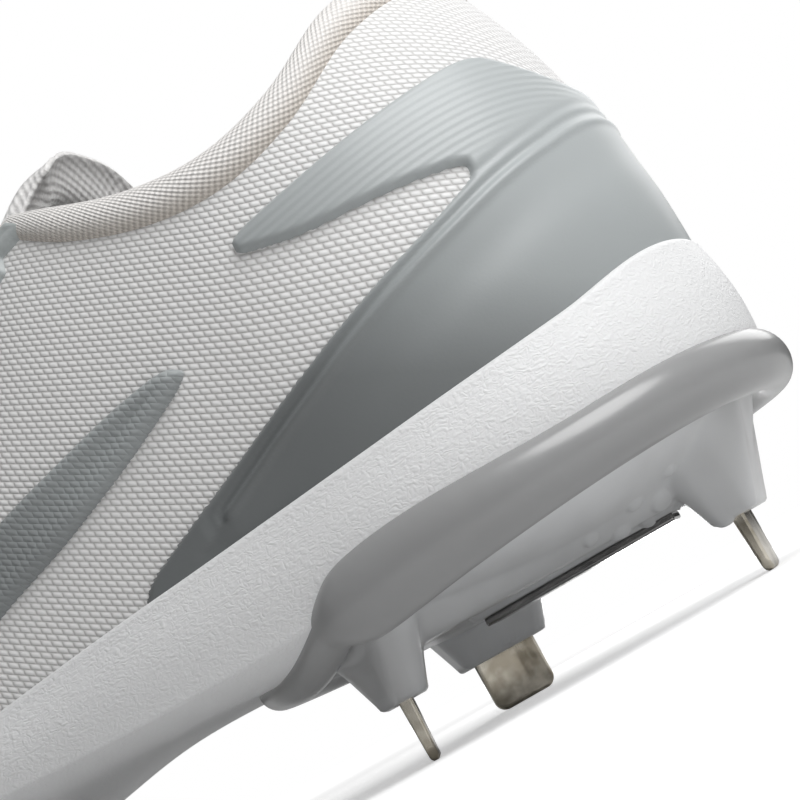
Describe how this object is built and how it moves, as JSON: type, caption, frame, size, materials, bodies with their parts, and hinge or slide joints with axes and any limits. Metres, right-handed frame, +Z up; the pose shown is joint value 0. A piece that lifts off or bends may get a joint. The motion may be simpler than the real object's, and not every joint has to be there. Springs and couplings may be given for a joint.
{
  "type": "baseball cleat",
  "caption": "Low-cut left baseball cleat with a woven upper, moulded heel counter, foam midsole, plastic plates and steel blades, standing on its blades.",
  "frame": {"origin": "on the floor, under the middle of the shoe's box", "axes": "+Z up, toe towards -X, heel towards +X, lateral side towards -Y, medial side towards +Y"},
  "size_m": [0.3022, 0.1086, 0.1068],
  "materials": {
    "woven_textile": "white basket weave",
    "knit_lining": "cream knit with a fine twill",
    "moulded_film": "thin semi-gloss grey film",
    "white_foam": "white foam with a fine crinkle",
    "clear_plastic": "milky glossy moulding",
    "blade_steel": "polished steel",
    "insole_cloth": "grey brushed cloth",
    "lace_cord": "white flat braid",
    "inlay_plastic": "smooth grey plastic"
  },
  "bodies": {
    "root": {"upper": "woven_textile", "midsole": "white_foam", "insole": "insole_cloth", "tongue": "knit_lining", "heel_plate": "clear_plastic", "forefoot_plate": "clear_plastic", "heel_counter": "moulded_film", "side_overlay_lateral": "moulded_film", "side_overlay_medial": "moulded_film", "toe_overlay": "moulded_film", "eyestay_lateral": "moulded_film", "eyestay_medial": "moulded_film", "collar_binding": "knit_lining", "lace": "lace_cord", "heel_inlay": "inlay_plastic", "heel_blade_lateral": "blade_steel", "heel_blade_medial": "blade_steel", "heel_blade_rear": "blade_steel", "fore_blade_lateral_back": "blade_steel", "fore_blade_lateral_mid": "blade_steel", "fore_blade_lateral_toe": "blade_steel", "fore_blade_medial_back": "blade_steel", "fore_blade_medial_mid": "blade_steel", "fore_blade_medial_toe": "blade_steel"}
  },
  "joints": []
}
